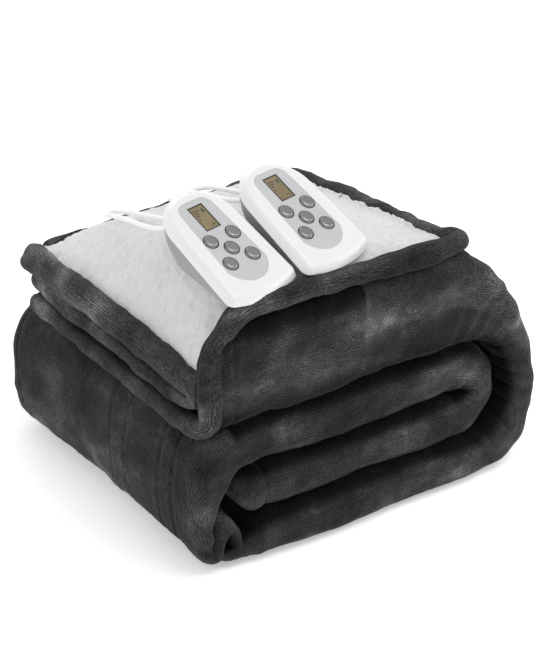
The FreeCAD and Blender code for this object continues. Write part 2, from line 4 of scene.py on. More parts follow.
import bpy
import numpy as np
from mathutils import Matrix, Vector


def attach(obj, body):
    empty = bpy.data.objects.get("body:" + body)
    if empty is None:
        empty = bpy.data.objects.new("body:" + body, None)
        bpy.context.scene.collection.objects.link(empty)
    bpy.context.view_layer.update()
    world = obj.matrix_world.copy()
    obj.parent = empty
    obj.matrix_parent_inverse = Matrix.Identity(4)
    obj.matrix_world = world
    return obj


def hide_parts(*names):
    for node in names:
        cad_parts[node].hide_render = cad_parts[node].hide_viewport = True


# A folded heated blanket with two hand controllers on top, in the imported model's frame, +Z up. The tables and
# the points are in mm and are scaled to metres as each mesh is made.

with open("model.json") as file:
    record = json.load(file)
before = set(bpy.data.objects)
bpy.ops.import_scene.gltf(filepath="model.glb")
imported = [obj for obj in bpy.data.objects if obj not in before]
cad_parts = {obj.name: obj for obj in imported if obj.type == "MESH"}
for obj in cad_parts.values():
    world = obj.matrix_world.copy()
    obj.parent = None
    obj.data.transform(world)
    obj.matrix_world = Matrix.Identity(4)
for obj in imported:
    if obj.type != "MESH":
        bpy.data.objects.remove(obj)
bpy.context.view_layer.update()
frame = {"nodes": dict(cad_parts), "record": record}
CONTROLLERS = ("controller_left", "controller_right")
MM = 0.001


# ---------------------------------------------------------------- numbers and noise

def smooth_path(points, per_run):
    """A Catmull-Rom curve through the points, with per_run samples to each run between two of them."""
    p = np.asarray(points, float)
    ends = np.vstack([2 * p[0] - p[1], p, 2 * p[-1] - p[-2]])
    out = []
    for i in range(len(p) - 1):
        a, b, c, d = ends[i:i + 4]
        t = (np.arange(per_run) / per_run)[:, None]
        out.append(0.5 * (2 * b + (c - a) * t + (2 * a - 5 * b + 4 * c - d) * t**2
                          + (3 * b - a - 3 * c + d) * t**3))
    out.append(p[-1:])
    return np.vstack(out)


LATTICE_SIZE = 32
NOISE_GAIN = 1.6


def even_distances(path, spacing):
    """The distance of each of a path's points from its start, and evenly spaced distances along it."""
    length = np.concatenate([[0], np.cumsum(np.linalg.norm(np.diff(path, axis=0), axis=1))])
    return length, np.linspace(0, length[-1], int(length[-1] / spacing))


def resample(curve, length, even):
    """The curve's points at other distances along the path."""
    return np.stack([np.interp(even, length, column) for column in curve.T], axis=1)


def lattice(seed):
    """Random values between -1 and 1 on a cube of points."""
    return np.random.default_rng(seed).random((LATTICE_SIZE,) * 3) * 2 - 1


LATTICES = [lattice(seed) for seed in range(6)]


def noise(points, wavelength, seed=0):
    """Smooth noise between about -1 and 1, with the given wavelength (one number, or one for each axis)."""
    table = LATTICES[seed % len(LATTICES)]
    q = np.asarray(points) / np.asarray(wavelength) + 13.7 * (seed + 1)
    cell = np.floor(q).astype(int)
    f = q - cell
    f = f * f * (3 - 2 * f)
    total = np.zeros(len(q))
    for dx in (0, 1):
        for dy in (0, 1):
            for dz in (0, 1):
                corner = (cell + (dx, dy, dz)) % LATTICE_SIZE
                weight = abs(1 - dx - f[:, 0]) * abs(1 - dy - f[:, 1]) * abs(1 - dz - f[:, 2])
                total += weight * table[corner[:, 0], corner[:, 1], corner[:, 2]]
    return total * NOISE_GAIN


def bump(x, centre, width):
    """1 at the centre, falling to nothing a few widths away."""
    return np.exp(-((x - centre) / width) ** 2)


def step(x, low, high):
    """0 below low and 1 above high, with a smooth rise between them."""
    t = np.clip((x - low) / (high - low), 0, 1)
    return t * t * (3 - 2 * t)


def between(x, rise, fall):
    """1 between two soft edges, each given as where it starts and where it ends, and 0 outside them."""
    return step(x, *rise) * (1 - step(x, *fall))


# ---------------------------------------------------------------- meshes

def new_object(name, mesh, body="blanket"):
    thing = bpy.data.objects.new(name, mesh)
    bpy.context.scene.collection.objects.link(thing)
    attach(thing, body)
    return thing


def grid_faces(rows, columns, around=False):
    """Quads of a grid; around closes it from the last column to the first."""
    faces = []
    for i in range(rows - 1):
        for j in range(columns if around else columns - 1):
            k = (j + 1) % columns
            faces.append((i * columns + j, i * columns + k, (i + 1) * columns + k, (i + 1) * columns + j))
    return faces


def normals_of(points, around=False):
    """Normals of a grid of points, by central differences."""
    along = np.gradient(points, axis=0)
    if around:
        across = (np.roll(points, -1, axis=1) - np.roll(points, 1, axis=1)) / 2
    else:
        across = np.gradient(points, axis=1)
    n = np.cross(across, along)
    return n / np.maximum(np.linalg.norm(n, axis=2, keepdims=True), 1e-12)


def outward_normals(points, centre):
    """Normals of a closed tube of points, away from its centre."""
    normals = normals_of(points, around=True)
    if np.mean(np.sum(normals * (points - centre), axis=2)) < 0:
        normals = -normals
    return normals


def grid_mesh(name, points, around=False, capped=False, lay=None, **marks):
    """A mesh from a grid of points. lay is a vector for each point that the cloth's weave follows. The marks
    are numbers for each point: shade is painted shade in a crease (up to 1) or a painted highlight (down to
    -1), stitched is where the painted shade along the stitched lines shows, and ribbed is where the cloth's
    ribs do."""
    rows, columns = points.shape[:2]
    vertices = points.reshape(-1, 3)
    faces = grid_faces(rows, columns, around)
    if capped:
        vertices = np.vstack([vertices, points[0].mean(axis=0), points[-1].mean(axis=0)])
        first, last = len(vertices) - 2, len(vertices) - 1
        base = (rows - 1) * columns
        for j in range(columns):
            k = (j + 1) % columns
            faces.append((first, k, j))
            faces.append((last, base + j, base + k))
    mesh = bpy.data.meshes.new(name)
    mesh.from_pydata(vertices.tolist(), [], faces)
    if lay is not None:
        flat = lay.reshape(-1, 3)
        if capped:
            flat = np.vstack([flat, lay[0].mean(axis=0), lay[-1].mean(axis=0)])
        layer = mesh.attributes.new("lay", "FLOAT_VECTOR", "POINT")
        layer.data.foreach_set("vector", flat.astype(np.float32).ravel())
    for mark, values in marks.items():
        flat = np.concatenate([values.ravel(), [0.0, 0.0]]) if capped else values.ravel()
        layer = mesh.attributes.new(mark, "FLOAT", "POINT")
        layer.data.foreach_set("value", flat.astype(np.float32))
    mesh.update()
    mesh.shade_smooth()
    return mesh


def rounded_section(half_wide, half_thick, radius, count):
    """Points round a rounded rectangle, evenly spaced, as (across, through) in -1..1 of the halves."""
    radius = min(radius, half_thick * 0.999, half_wide * 0.999)
    flat_w = half_wide - radius
    flat_t = half_thick - radius
    arc = math.pi / 2 * radius
    runs = [2 * flat_t, arc, 2 * flat_w, arc] * 2
    total = sum(runs)
    out = np.zeros((count, 2))
    corner_centres = [(-flat_w, flat_t), (flat_w, flat_t), (flat_w, -flat_t), (-flat_w, -flat_t)]
    starts = [(-half_wide, -flat_t), (-flat_w, half_thick), (half_wide, flat_t), (flat_w, -half_thick)]
    ways = [(0, 1), (1, 0), (0, -1), (-1, 0)]
    for n in range(count):
        s = total * n / count
        k = 0
        while s > runs[k] + 1e-12:
            s -= runs[k]
            k += 1
        side = k // 2
        if k % 2 == 0:
            out[n] = (starts[side][0] + ways[side][0] * s, starts[side][1] + ways[side][1] * s)
        else:
            angle = math.pi - side * math.pi / 2 - s / radius
            centre = corner_centres[side]
            out[n] = (centre[0] + radius * math.cos(angle), centre[1] + radius * math.sin(angle))
    return out / (half_wide, half_thick)


# ---------------------------------------------------------------- materials

class Shader:
    """A material's node tree, with short ways to add its nodes."""

    def __init__(self, name):
        self.material = bpy.data.materials.new(name)
        self.material.use_nodes = True
        self.nodes = self.material.node_tree.nodes
        self.links = self.material.node_tree.links
        self.surface = self.nodes["Principled BSDF"]

    def add(self, kind, settings=None, **sockets):
        node = self.nodes.new(kind)
        for key, value in (settings or {}).items():
            setattr(node, key, value)
        for key, value in sockets.items():
            self.feed(node, key.replace("_", " "), value)
        return node

    def feed(self, node, socket, value):
        if isinstance(value, bpy.types.NodeSocket):
            self.links.new(value, node.inputs[socket])
        else:
            node.inputs[socket].default_value = value

    def set(self, **sockets):
        for key, value in sockets.items():
            self.feed(self.surface, key.replace("_", " "), value)

    def noise(self, where, scale, detail=2.0, rough=0.5, distortion=0.0):
        return self.add("ShaderNodeTexNoise", Vector=where, Scale=scale, Detail=detail,
                        Roughness=rough, Distortion=distortion).outputs["Fac"]

    def stretch(self, where, scale):
        node = self.add("ShaderNodeMapping", Vector=where)
        node.inputs["Scale"].default_value = scale
        return node.outputs["Vector"]

    def math(self, operation, a, b=0.0, c=0.5):
        node = self.add("ShaderNodeMath", {"operation": operation})
        for i, value in enumerate((a, b, c)):
            if isinstance(value, bpy.types.NodeSocket):
                self.links.new(value, node.inputs[i])
            else:
                node.inputs[i].default_value = value
        return node.outputs[0]

    def ramp(self, factor, stops):
        node = self.add("ShaderNodeValToRGB", Fac=factor)
        elements = node.color_ramp.elements
        while len(elements) < len(stops):
            elements.new(0.5)
        for element, (place, colour) in zip(elements, stops):
            element.position = place
            element.color = (*colour, 1.0) if len(colour) == 3 else colour
        return node.outputs["Color"]

    def mix(self, factor, a, b, kind="MIX"):
        node = self.add("ShaderNodeMix", {"data_type": "RGBA", "blend_type": kind})
        for index, value in ((0, factor), (6, a), (7, b)):
            if isinstance(value, bpy.types.NodeSocket):
                self.links.new(value, node.inputs[index])
            else:
                node.inputs[index].default_value = value if index == 0 else (*value, 1.0)
        return node.outputs[2]

    def bump(self, height, strength, distance, normal=None):
        node = self.add("ShaderNodeBump", Height=height, Strength=strength, Distance=distance)
        if normal is not None:
            self.links.new(normal, node.inputs["Normal"])
        return node.outputs["Normal"]


# Where the stitched lines round the left side lie, from front to back, in mm
STITCH_LINES = (-126, -103, -41.5, -15, 155)
STITCH_SWAY = 0.006    # how far a line wanders, in metres
STITCH_WIDTH = 0.0065  # half of a line's width in the colour ramp
RIB_PITCH = 0.0024


def grey(value):
    return (value, value, value)


def charcoal(value):
    """A dark grey with a trace of plum."""
    return (value, value * 0.94, value * 1.01)


def stitch_groove_shade(s, place):
    """Painted shade in the grooves of the stitched lines: thin dark lines, as the multiplier of a colour."""
    sway = s.math("MULTIPLY_ADD", s.noise(place, 16.0, 1.0), STITCH_SWAY)
    depth = s.math("ADD", s.add("ShaderNodeSeparateXYZ", Vector=place).outputs["Y"], sway)
    stops = [(0.0, grey(1.0))]
    for line in STITCH_LINES:
        middle = (line * MM + STITCH_SWAY / 2) * 2.5 + 0.5
        stops.append((middle - STITCH_WIDTH, grey(1.0)))
        stops.append((middle, grey(0.25)))
        stops.append((middle + STITCH_WIDTH, grey(1.0)))
    return s.ramp(s.math("MULTIPLY_ADD", depth, 2.5), stops)


def flannel_material(name="flannel"):
    """Charcoal plush: a short nap in soft patches of lighter and darker tone, over fine ribs that run along the
    cloth, with the painted shade and painted highlights of each mesh's shade mark, and painted shade along the
    stitched lines.
    """
    s = Shader(name)
    lay = s.add("ShaderNodeAttribute", {"attribute_name": "lay"}).outputs["Vector"]
    place = s.add("ShaderNodeTexCoord").outputs["Object"]
    patches = s.noise(s.stretch(place, (1.0, 1.0, 1.5)), 13.0, 3.0, 0.5, 0.3)
    small = s.noise(place, 60.0, 2.0, 0.55, 0.3)
    strands = s.noise(s.stretch(lay, (560.0, 760.0, 500.0)), 1.0, 3.0, 0.72, 0.2)
    across = s.add("ShaderNodeSeparateXYZ", Vector=lay).outputs["Y"]
    wander = s.noise(s.stretch(lay, (110.0, 140.0, 90.0)), 1.0, 1.0)
    phase = s.math("ADD", s.math("MULTIPLY", across, 2 * math.pi / RIB_PITCH),
                   s.math("MULTIPLY", wander, 11.0))
    broken = s.noise(s.stretch(lay, (260.0, 430.0, 250.0)), 1.0, 2.0, 0.6)
    ribs = s.math("MULTIPLY", s.math("MULTIPLY_ADD", s.math("SINE", phase), 0.5), broken)
    ribbed = s.add("ShaderNodeAttribute", {"attribute_name": "ribbed"}).outputs["Fac"]
    shown = s.ramp(s.math("ADD", s.noise(place, 22.0, 2.0), s.math("MULTIPLY", ribbed, 0.3)),
                   [(0.42, grey(0.2)), (0.66, grey(1.0)), (1.0, grey(1.25))])
    nap = s.math("ADD", s.math("MULTIPLY", patches, 0.8), s.math("MULTIPLY", small, 0.2))
    tone = s.ramp(nap, [(0.36, charcoal(0.014)), (0.50, charcoal(0.028)),
                        (0.60, charcoal(0.058)), (0.72, charcoal(0.16))])
    fleck = s.ramp(strands, [(0.36, grey(0.50)), (0.52, grey(1.0)), (0.68, grey(1.9))])
    line = s.mix(shown, grey(1.0), s.ramp(ribs, [(0.12, grey(0.66)), (0.46, grey(1.55))]))
    colour = s.mix(1.0, s.mix(1.0, tone, fleck, "MULTIPLY"), line, "MULTIPLY")
    # painted shade in the creases and painted highlights on the edges and tops, from each mesh's shade mark
    shade = s.add("ShaderNodeAttribute", {"attribute_name": "shade"}).outputs["Fac"]
    shade = s.math("MULTIPLY_ADD", shade, 0.5)
    painted_light_and_shade = s.ramp(shade, [(0.0, grey(2.4)), (0.5, grey(1.0)), (1.0, grey(0.12))])
    # painted shade along the grooves of the stitched lines, where the stitched mark is set
    groove_shade = stitch_groove_shade(s, place)
    stitched = s.add("ShaderNodeAttribute", {"attribute_name": "stitched"}).outputs["Fac"]
    colour = s.mix(1.0, colour, s.mix(stitched, grey(1.0), groove_shade), "MULTIPLY")
    s.set(Base_Color=s.mix(1.0, colour, painted_light_and_shade, "MULTIPLY"), Roughness=0.88)
    s.surface.inputs["Specular IOR Level"].default_value = 0.08
    s.surface.inputs["Sheen Weight"].default_value = 0.12
    s.surface.inputs["Sheen Roughness"].default_value = 0.35
    s.surface.inputs["Sheen Tint"].default_value = (0.8, 0.77, 0.82, 1.0)
    coarse = s.bump(s.math("ADD", ribs, s.math("MULTIPLY", broken, 0.7)), 0.5, 0.0018)
    s.set(Normal=s.bump(strands, 0.8, 0.0010, coarse))
    return s.material


def sherpa_material():
    """White fleece: soft curled tufts, with painted shade that makes it a little greyer between them."""
    s = Shader("sherpa")
    place = s.add("ShaderNodeTexCoord").outputs["Object"]
    curls = s.noise(place, 200.0, 4.0, 0.66, 1.6)
    fibres = s.noise(place, 800.0, 3.0, 0.65, 2.2)
    clumps = s.noise(place, 70.0, 2.0, 0.5, 0.4)
    both = s.math("ADD", s.math("MULTIPLY", curls, 0.6), s.math("MULTIPLY", fibres, 0.4))
    # painted shade: the colour follows the same noise as the bump, greyer where the tufts dip
    tone = s.ramp(both, [(0.28, (0.60, 0.60, 0.61)), (0.48, grey(0.76)), (0.68, (0.87, 0.87, 0.865))])
    soft = s.ramp(clumps, [(0.3, grey(0.965)), (0.65, grey(1.0))])
    s.set(Base_Color=s.mix(1.0, tone, soft, "MULTIPLY"), Roughness=0.95)
    s.surface.inputs["Specular IOR Level"].default_value = 0.1
    s.surface.inputs["Sheen Weight"].default_value = 0.4
    s.surface.inputs["Sheen Roughness"].default_value = 0.6
    s.surface.inputs["Subsurface Weight"].default_value = 0.15
    s.surface.inputs["Subsurface Scale"].default_value = 0.004
    s.set(Normal=s.bump(both, 0.8, 0.0034))
    return s.material


def moulded_material(name, colour, roughness, grain=0.12, coat=0.0, spread=0.03):
    """Moulded plastic or rubber: one colour with a faint cloudiness, and a fine grain."""
    s = Shader(name)
    place = s.add("ShaderNodeTexCoord").outputs["Object"]
    cloud = s.noise(place, 30.0, 3.0, 0.5)
    dark = tuple(c * (1 - spread) for c in colour)
    light = tuple(min(1.0, c * (1 + spread)) for c in colour)
    s.set(Base_Color=s.ramp(cloud, [(0.35, dark), (0.65, light)]))
    rough = s.add("ShaderNodeMapRange", Value=cloud)
    rough.inputs["To Min"].default_value = roughness * 0.85
    rough.inputs["To Max"].default_value = min(1.0, roughness * 1.15)
    s.set(Roughness=rough.outputs["Result"])
    s.surface.inputs["Coat Weight"].default_value = coat
    s.surface.inputs["Coat Roughness"].default_value = 0.08
    fine = s.noise(place, 1800.0, 2.0, 0.6)
    s.set(Normal=s.bump(fine, grain, 0.0001))
    return s.material


def metal_material(name, colour, roughness):
    """Metal with a fine drawn grain."""
    s = Shader(name)
    place = s.add("ShaderNodeTexCoord").outputs["Object"]
    drawn = s.noise(s.stretch(place, (1.0, 1.0, 30.0)), 900.0, 2.0)
    darker = tuple(c * 0.9 for c in colour)
    s.set(Base_Color=s.ramp(drawn, [(0.3, darker), (0.7, colour)]), Metallic=1.0, Roughness=roughness)
    s.set(Normal=s.bump(drawn, 0.1, 0.00005))
    return s.material


def display_material():
    """The olive tint of a display that is lit from behind, under a thin clear window."""
    s = Shader("display")
    place = s.add("ShaderNodeTexCoord").outputs["Object"]
    cloud = s.noise(place, 45.0, 2.0)
    olive = s.ramp(cloud, [(0.3, (0.155, 0.118, 0.052)), (0.7, (0.215, 0.165, 0.078))])
    s.set(Base_Color=olive, Roughness=0.28)
    s.surface.inputs["Coat Weight"].default_value = 0.5
    s.surface.inputs["Coat Roughness"].default_value = 0.05
    fine = s.noise(place, 2500.0, 1.0)
    s.set(Normal=s.bump(fine, 0.05, 0.00005))
    return s.material


def board_material():
    """A green circuit board with paler tracks."""
    s = Shader("board")
    place = s.add("ShaderNodeTexCoord").outputs["Object"]
    tracks = s.noise(s.stretch(place, (1.0, 4.0, 1.0)), 260.0, 1.0)
    s.set(Base_Color=s.ramp(tracks, [(0.48, (0.01, 0.10, 0.04)), (0.52, (0.03, 0.17, 0.07))]), Roughness=0.45)
    return s.material


MATERIALS = {
    "flannel": flannel_material(),
    "hem": flannel_material("hem"),
    "sherpa": sherpa_material(),
    "white_plastic": moulded_material("white_plastic", (0.72, 0.72, 0.725), 0.32, coat=0.2, spread=0.01),
    # the base shell's plastic is a dark grey as painted shade, for the wedge that lies under the top shell's
    # rim
    "base_plastic": moulded_material("base_plastic", (0.27, 0.27, 0.28), 0.40, spread=0.02),
    "panel_grey": moulded_material("panel_grey", (0.47, 0.475, 0.485), 0.42, grain=0.3, spread=0.02),
    "button_silver": metal_material("button_silver", (0.25, 0.25, 0.26), 0.34),
    "display": display_material(),
    "module_plastic": moulded_material("module_plastic", (0.03, 0.03, 0.03), 0.5),
    "board": board_material(),
    "membrane": moulded_material("membrane", (0.2, 0.2, 0.21), 0.6),
    "steel": metal_material("steel", (0.6, 0.6, 0.6), 0.35),
    "foot_rubber": moulded_material("foot_rubber", (0.45, 0.45, 0.46), 0.7, grain=0.4),
    "connector_plastic": moulded_material("connector_plastic", (0.7, 0.7, 0.69), 0.4),
    "wire_insulation": moulded_material("wire_insulation", (0.65, 0.64, 0.6), 0.5),
    "lead_vinyl": moulded_material("lead_vinyl", (0.80, 0.80, 0.81), 0.42, grain=0.2),
    "plug_vinyl": moulded_material("plug_vinyl", (0.80, 0.80, 0.81), 0.38, grain=0.3),
}


def finish(thing, slot):
    """Give a piece its slot's material."""
    thing.data.materials.clear()
    thing.data.materials.append(MATERIALS[slot])


def dress_cad_nodes():
    """Every node that keeps its CAD shape takes its slot's material."""
    for row in frame["record"]["subparts"]:
        node = frame["nodes"][row["node"]]
        node.data.materials.clear()
        node.data.materials.append(MATERIALS[row["material_slot"]])


# ---------------------------------------------------------------- the roll of flannel

HALF_DEPTH = 163.0
EDGE_RADIUS = 18.0
# Heights of the fleece's crest, and of its right edge, from the front of the pile to its back: (y, z)
CREST = ((-163, 273), (-90, 283), (-5, 283), (55, 269), (110, 240), (163, 207))
RIGHT_HEIGHT = ((-163, 273), (-120, 265), (-20, 245), (45, 232), (100, 219), (163, 207))
BACK_HEIGHT = 207.0
FRONT_HEIGHT = 273.0

# The section of the roll, from its inner end outwards: (inner x, z), (outer x, z), (outer x, z at the back),
# and how far its front face stands out in front of the half depth
ROLL = [
    ((-157, 97), (-157, 53), None, 9),
    ((-122, 101), (-122, 53), None, 10),
    ((0, 98.5), (0, 51.5), None, 11),
    ((84, 98), (86, 50), None, 11),
    ((100, 98.5), (118, 53), None, 11),
    ((105, 100), (141, 70), None, 10),
    ((107, 101.5), (151, 98), None, 10),
    ((104, 102), (142, 131), None, 10),
    ((94, 102.5), (117, 151), None, 10),
    ((72, 103), (76, 153), None, 10),
    ((0, 102), (0, 153.5), None, 10),
    ((-100, 105), (-100, 154), None, 10),
    ((-142, 106), (-140, 154), None, 10),
    ((-162, 100), (-172, 150), None, 10),
    ((-174, 80), (-195, 134), None, 10),
    ((-182, 58), (-206, 98), None, 9),
    ((-186, 42), (-205, 54), None, 9),
    ((-185, 28), (-197, 21), None, 6),
    ((-168, 22), (-171, 7), None, 5),
    ((-144, 38), (-143, 0.5), None, 12),
    ((-118, 48), (-118, 0.5), None, 15),
    ((0, 49.5), (0, 0.5), None, 16),
    ((88, 46.5), (108, 0.5), None, 16),
    ((122, 48), (146, 1), None, 16),
    ((145, 66), (180, 14), None, 16),
    ((155, 88), (196, 48), None, 15),
    ((154.5, 112), (199, 90), None, 15),
    ((146, 134), (192, 130), (190, 120), 14),
    ((133, 149), (177, 172), (179, 145), 13),
    ((117, 153.5), (158, 205), (162, 166), 12),
    ((102, 154.5), (139, 228), (142, 184), 11),
    ((88, 155), (118, 246), (125, 191), 10),
    ((62, 155), (92, 257), (92, 194), 10),
    ((-60, 154.5), (-60, 260), (-60, 194), 10),
    ((-150, 153), (-150, 261), (-150, 194), 7),
    ((-181, 152), (-180, 258), (-180, 194), 5),
]
# Stretches of the roll, as the rows of the table over which each rises and fades
LEFT_TURN = ((12.5, 14.0), (17.0, 18.5))
LEFT_WRAP = ((12.2, 13.2), (19.0, 20.5))
LEFT_RIBS = ((12.6, 13.4), (18.5, 19.5))
RIGHT_TURN = ((26.0, 28.0), (31.6, 33.0))
POINTS_PER_ROW = 14
ROLL_STEP = 3.0
ROLL_AROUND = 340
ROLL_LIMITS = (-213, 206)
ROLL_START = 18.0  # the lengths over which the band's two ends round off
ROLL_END = 6.0
SHERPA_STEP = 1.6
SHERPA_LEFT = -184.0
SHERPA_RIGHT = ((-163, 91), (-120, 93), (-20, 101), (100, 113), (163, 121))  # (y, x)
SHERPA_COVER = 8.0  # how far the roll stays below the fleece
# Gathers where the cloth turns: (place along the roll, width, depth). The place and the width are in rows of
# the table above, and the depth is in mm.
GATHERS = (
    (4.3, 0.10, 3.0), (4.9, 0.09, 3.5), (5.5, 0.09, 4.0),
    (6.1, 0.10, 4.5), (6.7, 0.09, 3.5), (7.4, 0.10, 3.0),
    (23.3, 0.10, 2.5), (24.1, 0.08, 4.0), (24.7, 0.09, 4.5), (25.35, 0.08, 5.0), (26.0, 0.09, 5.5),
    (26.6, 0.08, 4.5), (27.3, 0.10, 5.0), (28.1, 0.09, 4.0), (28.7, 0.10, 3.0),
)


def read(table, y):
    """The table's second column at y."""
    return np.interp(y, *zip(*table))


def soft_crest(y):
    """The crest's height, with its corners eased over 24 mm."""
    return sum(read(CREST, y + d) for d in (-12, -6, 0, 6, 12)) / 5


def soft_right(y):
    """The height of the fleece along its right edge, eased in the same way."""
    return sum(read(RIGHT_HEIGHT, y + d) for d in (-12, 0, 12)) / 3


def sherpa_height(x, y):
    """The height of the fleece: rounded down to the flap's left edge, and lower along the right side."""
    crest = soft_crest(y)
    right = read(SHERPA_RIGHT, y)
    edge = 209.0 - 3.0 * step(y, 60, 156)
    rise = np.sin(np.clip((x - SHERPA_LEFT) / 52, 0, 1) * math.pi / 2) ** 0.9
    z = edge + (crest - edge) * rise
    z += (soft_right(y) - crest) * step(x, right - 95, right)
    return z - 4.0 * step(-y, 138, 153) - 2.0 * step(y, 140, 156)


def wrap_share(station, through):
    """1 on the outer face of the long turn at the left, and 0 elsewhere."""
    return between(station, *LEFT_WRAP) * (through > 0)


def roll_points():
    """The roll before its relief: points by (place along it, place round its section), where each lies in the
    section and along the roll, and the row of the table that each section belongs to."""
    curves = [[row[0] for row in ROLL], [row[1] for row in ROLL], [row[2] or row[1] for row in ROLL],
              [(row[3], 0) for row in ROLL]]
    inner, outer, behind, stand = (smooth_path(curve, POINTS_PER_ROW) for curve in curves)
    length, even = even_distances((inner + outer) / 2, ROLL_STEP)
    station = np.interp(even, length, np.arange(len(length)) / POINTS_PER_ROW)
    inner, outer, behind, stand = (resample(curve, length, even) for curve in (inner, outer, behind, stand))
    count = len(even)
    points = np.zeros((count, ROLL_AROUND, 3))
    local = np.zeros((count, ROLL_AROUND, 2))
    for i in range(count):
        half_thick = np.linalg.norm(outer[i] - inner[i]) / 2
        section = rounded_section(HALF_DEPTH, half_thick, EDGE_RADIUS, ROLL_AROUND)
        into = min(even[i] / ROLL_START, (even[-1] - even[i]) / ROLL_END)
        squeeze = math.sqrt(max(0.0, 1 - (1 - min(1.0, into)) ** 2)) if into < 1 else 1.0
        squeeze = max(squeeze, 0.06)
        reach = HALF_DEPTH - 15.0 * (1 - squeeze)
        wrapped = between(station[i], *LEFT_TURN)
        y = section[:, 0] * (reach + np.where(section[:, 0] < 0, stand[i, 0], 6.0 + 6.0 * wrapped))
        through = section[:, 1] * squeeze
        right_side = between(station[i], *RIGHT_TURN)
        height = soft_crest(y) * (1 - right_side) + soft_right(y) * right_side
        rise = (height - BACK_HEIGHT) / (FRONT_HEIGHT - BACK_HEIGHT)
        far = behind[i] + (outer[i] - behind[i]) * rise[:, None]
        xz = inner[i] + (far - inner[i]) * ((through + 1) / 2)[:, None]
        points[i, :, 0] = xz[:, 0] - 5.0 * wrapped * step(y, 40, 160) * (through > 0)
        points[i, :, 1] = y
        points[i, :, 2] = xz[:, 1]
        local[i, :, 0] = through
        local[i, :, 1] = even[i]
    return points, local, station


def roll_relief(points, local, station):
    """How far each point of the roll stands in from its plain surface, in mm."""
    flat = points.reshape(-1, 3)
    shape = points.shape[:2]
    y = points[:, :, 1]
    through = local[:, :, 0]
    where = np.repeat(station[:, None], shape[1], axis=1)
    front = step(-y, HALF_DEPTH - 28, HALF_DEPTH - 6)
    back = step(y, HALF_DEPTH - 30, HALF_DEPTH - 8)
    relief = -1.5 * noise(flat, 85, 0).reshape(shape) - 1.0 * noise(flat, 38, 1).reshape(shape)
    relief -= 0.45 * noise(flat, 15, 2).reshape(shape)
    relief -= 0.22 * noise(flat, 6, 3).reshape(shape)
    # long soft folds across the front faces, parallel to the turns
    ripple = np.sin(where * 5.2 + 2.2 * noise(flat, (60, 60, 25), 4).reshape(shape))
    relief -= 0.7 * ripple * (front + back)
    fan = np.clip(1.0 - (through + 1) / 1.5, 0, 1)
    shown = fan * np.clip(front + back, 0, 1)
    for place, width, deep in GATHERS:
        bent = where - 0.12 * (through + 1) * math.sin(place * 7)
        relief += deep * bump(bent, place, width) * shown
        relief -= deep * 0.35 * bump(bent, place + width * 1.9, width * 1.1) * shown
    # the seams of the hem at the inner end, and beside the upright hem at the outer end
    from_start = local[:, :, 1]
    relief += 3.2 * bump(from_start, 27.0, 1.8) * front - 1.2 * bump(from_start, 20.0, 6.0) * front
    to_end = local[-1, 0, 1] - from_start
    relief += 2.4 * bump(to_end, 17.0, 1.8) * front
    # stitched channels round the left side
    wrap = wrap_share(where, through)
    for line in STITCH_LINES:
        wander = 1.3 * noise(flat, 45, 5).reshape(shape)
        relief += 1.9 * bump(y, line + wander, 2.2) * wrap
        relief -= 0.6 * bump(y, line + wander, 8.0) * wrap
    # a row of fine ribs where the outer layer is drawn round the front left edge
    edge = bump(-y, HALF_DEPTH - 4, 22) * between(where, *LEFT_RIBS)
    relief += 0.35 * np.sin(y / 2.6 * 2 * math.pi + noise(flat, 20, 1).reshape(shape)) * edge
    return relief


def keep_below_fleece(shaped, where):
    """Lower the roll's points that would stand up through the fleece."""
    x, y, z = shaped[:, :, 0], shaped[:, :, 1], shaped[:, :, 2]
    covered = (where > 28) & (x < read(SHERPA_RIGHT, y) + 3) & (abs(y) < 157)
    roof = sherpa_height(np.maximum(x, SHERPA_LEFT), np.clip(y, -150, 150)) - SHERPA_COVER
    shaped[:, :, 2] = np.where(covered, np.minimum(z, roof), z)


def roll_lay(points, local, where):
    """The way the weave runs: along the roll, round its section, and a different place for each row."""
    lay = np.zeros_like(points)
    lay[:, :, 0] = local[:, :, 1]
    lay[:, 1:, 1] = np.cumsum(np.linalg.norm(np.diff(points, axis=1), axis=2), axis=1)
    lay[:, :, 2] = where * 3.0
    return lay


def roll_shade(shaped, through, where):
    """Painted shade in the creases between the layers, and a painted highlight along the outer edges."""
    y = shaped[:, :, 1]
    ends = step(abs(y), HALF_DEPTH - 42, HALF_DEPTH - 14)
    outside = (through > 0) & (where > 12.7) & (where < 32.7)
    shade = np.where(outside, 0.0, step(abs(through), 0.45, 0.85)) * ends
    # a painted highlight along the outer edges, in noisy patches
    painted_highlight = np.clip(0.5 + 0.5 * noise(shaped.reshape(-1, 3), 30, 2).reshape(y.shape), 0, 1)
    return shade - 0.65 * painted_highlight * bump(abs(y), HALF_DEPTH - 2, 16) * outside


def make_roll():
    """The blanket itself: one long band, rolled up, from the inner end to the flap on top."""
    points, local, station = roll_points()
    normals = outward_normals(points, points.mean(axis=1, keepdims=True))
    where = np.repeat(station[:, None], points.shape[1], axis=1)
    through = local[:, :, 0]
    shaped = points - normals * roll_relief(points, local, station)[:, :, None]
    shaped[:, :, 2] = np.maximum(shaped[:, :, 2], 0.3)
    shaped[:, :, 0] = np.clip(shaped[:, :, 0], *ROLL_LIMITS)
    keep_below_fleece(shaped, where)
    stitched = wrap_share(where, through)
    mesh = grid_mesh("flannel_roll", shaped * MM, around=True, capped=True,
                     lay=roll_lay(points, local, where) * MM, shade=roll_shade(shaped, through, where),
                     stitched=stitched, ribbed=stitched * bump(-shaped[:, :, 1], HALF_DEPTH - 4, 34))
    roll = new_object("flannel_roll", mesh)
    finish(roll, "flannel")
    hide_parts("bottom_fold", "lower_inner_fold", "upper_inner_fold", "inner_turn", "left_wrap",
                "right_turn", "top_fold")
    return roll


# ---------------------------------------------------------------- bands: hems and folded edges

BAND_STEP = 2.5
POINTS_PER_STATION = 12
FULLER = 0.8  # below 1, a band's section is fuller than an ellipse


